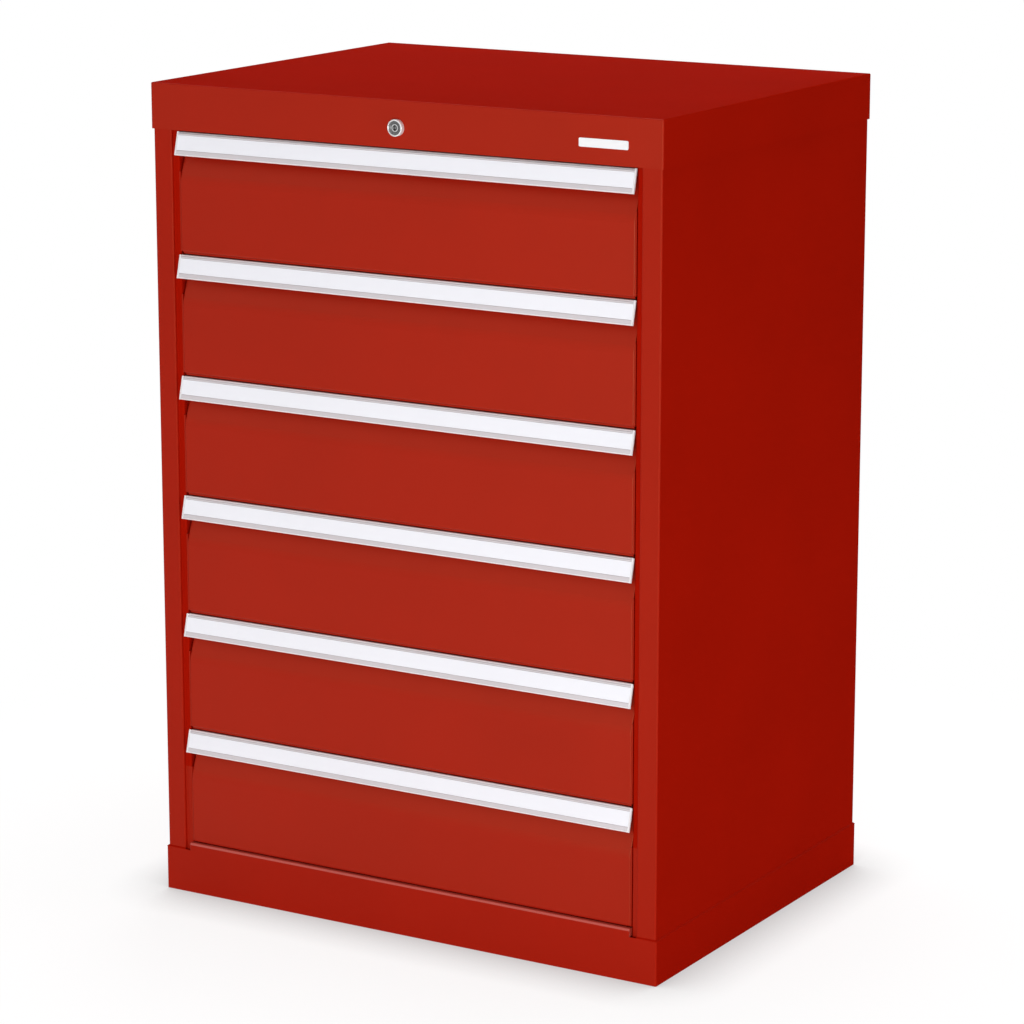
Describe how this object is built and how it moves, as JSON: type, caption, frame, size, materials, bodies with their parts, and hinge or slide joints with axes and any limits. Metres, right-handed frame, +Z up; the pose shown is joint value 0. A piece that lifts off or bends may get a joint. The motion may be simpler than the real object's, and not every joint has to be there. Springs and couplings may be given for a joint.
{
  "type": "multi-drawer workshop cabinet",
  "caption": "Floor-standing steel cabinet with equal full-width drawers on telescopic rails, slanted label handles and a central lock.",
  "frame": {"origin": "floor, under the middle of the cover and the plinth", "axes": "+Z up, -Y towards the front with the handles, +X to the right as seen from the front"},
  "size_m": [0.705, 0.536, 1.02],
  "materials": {
    "red_paint": "satin powder coat",
    "tray_grey": "satin powder coat",
    "zinc_steel": "bright zinc",
    "aluminium": "satin anodised",
    "label_white": "smooth",
    "cap_plastic": "smooth",
    "lock_metal": "bright",
    "guide_plastic": "matte",
    "white_plate": "smooth"
  },
  "bodies": {
    "carcass": {"left_side_panel": "red_paint", "right_side_panel": "red_paint", "back_panel": "red_paint", "top_cover": "red_paint", "base_plinth": "red_paint", "top_rail": "red_paint", "left_uprights": "zinc_steel", "right_uprights": "zinc_steel", "left_cabinet_rails": "zinc_steel", "right_cabinet_rails": "zinc_steel", "lock_barrel": "lock_metal", "lock_nut": "zinc_steel", "lock_guides": "guide_plastic", "name_plate": "white_plate"},
    "lock_rotor": {"lock_core": "lock_metal", "lock_cam": "zinc_steel"},
    "lock_bar": {"lock_slider": "zinc_steel", "lock_bar": "zinc_steel"},
    "drawer_1": {"drawer_1_tray": "tray_grey", "drawer_1_front": "red_paint", "drawer_1_handle": "aluminium", "drawer_1_label": "label_white", "drawer_1_end_caps": "cap_plastic", "drawer_1_rails": "zinc_steel"},
    "drawer_1_middle": {"drawer_1_middle_rails": "zinc_steel"},
    "drawer_2": {"drawer_2_tray": "tray_grey", "drawer_2_front": "red_paint", "drawer_2_handle": "aluminium", "drawer_2_label": "label_white", "drawer_2_end_caps": "cap_plastic", "drawer_2_rails": "zinc_steel"},
    "drawer_2_middle": {"drawer_2_middle_rails": "zinc_steel"},
    "drawer_3": {"drawer_3_tray": "tray_grey", "drawer_3_front": "red_paint", "drawer_3_handle": "aluminium", "drawer_3_label": "label_white", "drawer_3_end_caps": "cap_plastic", "drawer_3_rails": "zinc_steel"},
    "drawer_3_middle": {"drawer_3_middle_rails": "zinc_steel"},
    "drawer_4": {"drawer_4_tray": "tray_grey", "drawer_4_front": "red_paint", "drawer_4_handle": "aluminium", "drawer_4_label": "label_white", "drawer_4_end_caps": "cap_plastic", "drawer_4_rails": "zinc_steel"},
    "drawer_4_middle": {"drawer_4_middle_rails": "zinc_steel"},
    "drawer_5": {"drawer_5_tray": "tray_grey", "drawer_5_front": "red_paint", "drawer_5_handle": "aluminium", "drawer_5_label": "label_white", "drawer_5_end_caps": "cap_plastic", "drawer_5_rails": "zinc_steel"},
    "drawer_5_middle": {"drawer_5_middle_rails": "zinc_steel"},
    "drawer_6": {"drawer_6_tray": "tray_grey", "drawer_6_front": "red_paint", "drawer_6_handle": "aluminium", "drawer_6_label": "label_white", "drawer_6_end_caps": "cap_plastic", "drawer_6_rails": "zinc_steel"},
    "drawer_6_middle": {"drawer_6_middle_rails": "zinc_steel"}
  },
  "joints": [
    {"name": "drawer_1_slide", "type": "slide", "parent": "carcass", "child": "drawer_1", "axis": [0, -1, 0], "range_m": [0, 0.42]},
    {"name": "drawer_1_middle_slide", "type": "slide", "parent": "carcass", "child": "drawer_1_middle", "axis": [0, -1, 0], "range_m": [0, 0.21]},
    {"name": "drawer_2_slide", "type": "slide", "parent": "carcass", "child": "drawer_2", "axis": [0, -1, 0], "range_m": [0, 0.42]},
    {"name": "drawer_2_middle_slide", "type": "slide", "parent": "carcass", "child": "drawer_2_middle", "axis": [0, -1, 0], "range_m": [0, 0.21]},
    {"name": "drawer_3_slide", "type": "slide", "parent": "carcass", "child": "drawer_3", "axis": [0, -1, 0], "range_m": [0, 0.42]},
    {"name": "drawer_3_middle_slide", "type": "slide", "parent": "carcass", "child": "drawer_3_middle", "axis": [0, -1, 0], "range_m": [0, 0.21]},
    {"name": "drawer_4_slide", "type": "slide", "parent": "carcass", "child": "drawer_4", "axis": [0, -1, 0], "range_m": [0, 0.42]},
    {"name": "drawer_4_middle_slide", "type": "slide", "parent": "carcass", "child": "drawer_4_middle", "axis": [0, -1, 0], "range_m": [0, 0.21]},
    {"name": "drawer_5_slide", "type": "slide", "parent": "carcass", "child": "drawer_5", "axis": [0, -1, 0], "range_m": [0, 0.42]},
    {"name": "drawer_5_middle_slide", "type": "slide", "parent": "carcass", "child": "drawer_5_middle", "axis": [0, -1, 0], "range_m": [0, 0.21]},
    {"name": "drawer_6_slide", "type": "slide", "parent": "carcass", "child": "drawer_6", "axis": [0, -1, 0], "range_m": [0, 0.42]},
    {"name": "drawer_6_middle_slide", "type": "slide", "parent": "carcass", "child": "drawer_6_middle", "axis": [0, -1, 0], "range_m": [0, 0.21]},
    {"name": "lock_turn", "type": "hinge", "parent": "carcass", "child": "lock_rotor", "pos_m": [0, -0.25, 0.988], "axis": [0, 1, 0], "range_deg": [0, 90]},
    {"name": "lock_bar_shift", "type": "slide", "parent": "carcass", "child": "lock_bar", "axis": [1, 0, 0], "range_m": [0, 0.012]}
  ],
  "couplings": [
    {"joint": "drawer_1_middle_slide", "follows": "drawer_1_slide", "ratio": 0.5},
    {"joint": "drawer_2_middle_slide", "follows": "drawer_2_slide", "ratio": 0.5},
    {"joint": "drawer_3_middle_slide", "follows": "drawer_3_slide", "ratio": 0.5},
    {"joint": "drawer_4_middle_slide", "follows": "drawer_4_slide", "ratio": 0.5},
    {"joint": "drawer_5_middle_slide", "follows": "drawer_5_slide", "ratio": 0.5},
    {"joint": "drawer_6_middle_slide", "follows": "drawer_6_slide", "ratio": 0.5},
    {"joint": "lock_turn", "follows": "lock_bar_shift", "rad_per_m": 130.9}
  ]
}
